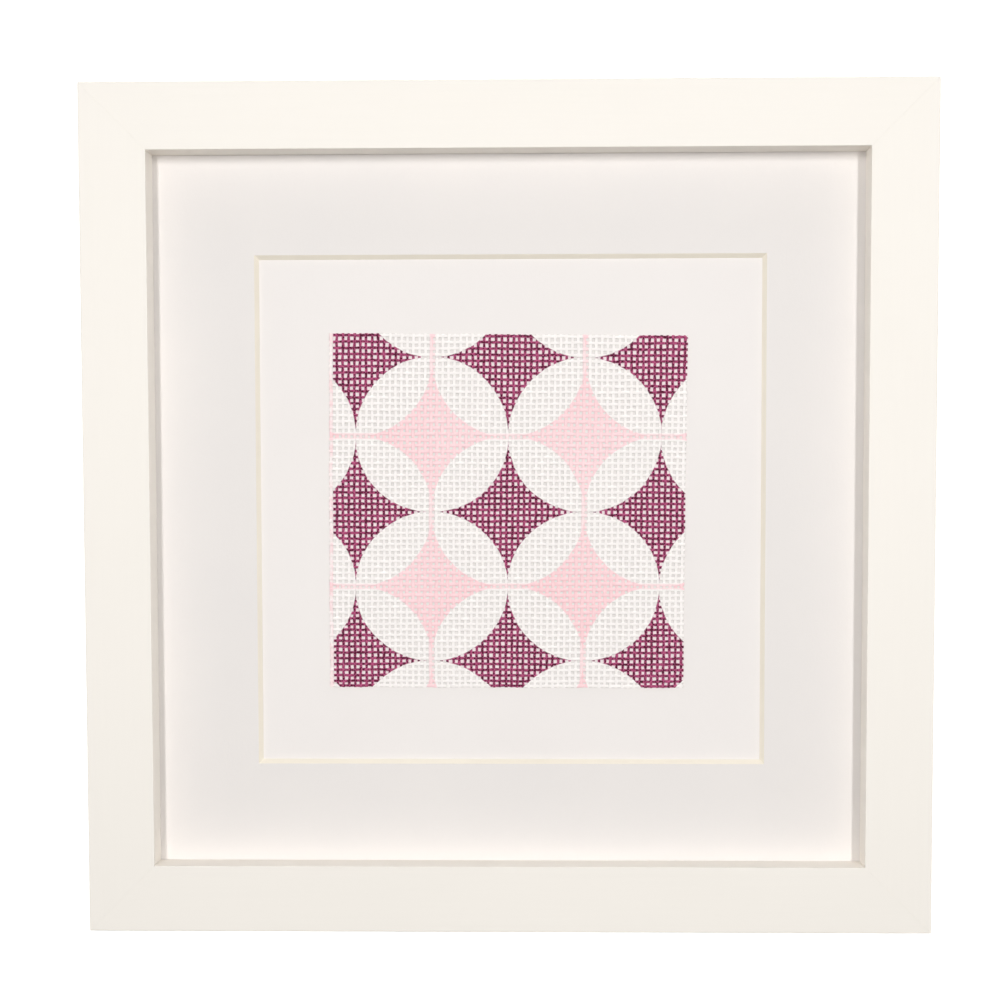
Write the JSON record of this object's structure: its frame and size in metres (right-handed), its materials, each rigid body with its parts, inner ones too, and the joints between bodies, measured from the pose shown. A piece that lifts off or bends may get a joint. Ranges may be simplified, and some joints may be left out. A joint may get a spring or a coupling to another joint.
{
  "type": "framed needlepoint canvas panel",
  "caption": "Square of open-weave needlepoint canvas painted with interlocking circles, on a board behind a bevelled window mount in a white mitred frame",
  "frame": {"origin": "centre of the frame's back, which lies flat on the surface", "axes": "+Z out of the picture, +Y towards the picture's top edge, +X to the right as the picture is looked at"},
  "size_m": [0.279, 0.279, 0.02],
  "materials": {
    "rail_top": "smooth white satin paint",
    "rail_bottom": "smooth white satin paint",
    "rail_left": "smooth white satin paint",
    "rail_right": "smooth white satin paint",
    "mount_board": "matt white face, cream core at the bevel",
    "backing_board": "matt white",
    "canvas_panel": "stiff open cotton weave, painted white, plum and pale pink",
    "back_board": "plain brown fibreboard"
  },
  "bodies": {
    "root": {"rail_top": "rail_top", "rail_bottom": "rail_bottom", "rail_left": "rail_left", "rail_right": "rail_right", "mount_board": "mount_board", "backing_board": "backing_board", "canvas_panel": "canvas_panel", "back_board": "back_board"}
  },
  "joints": []
}
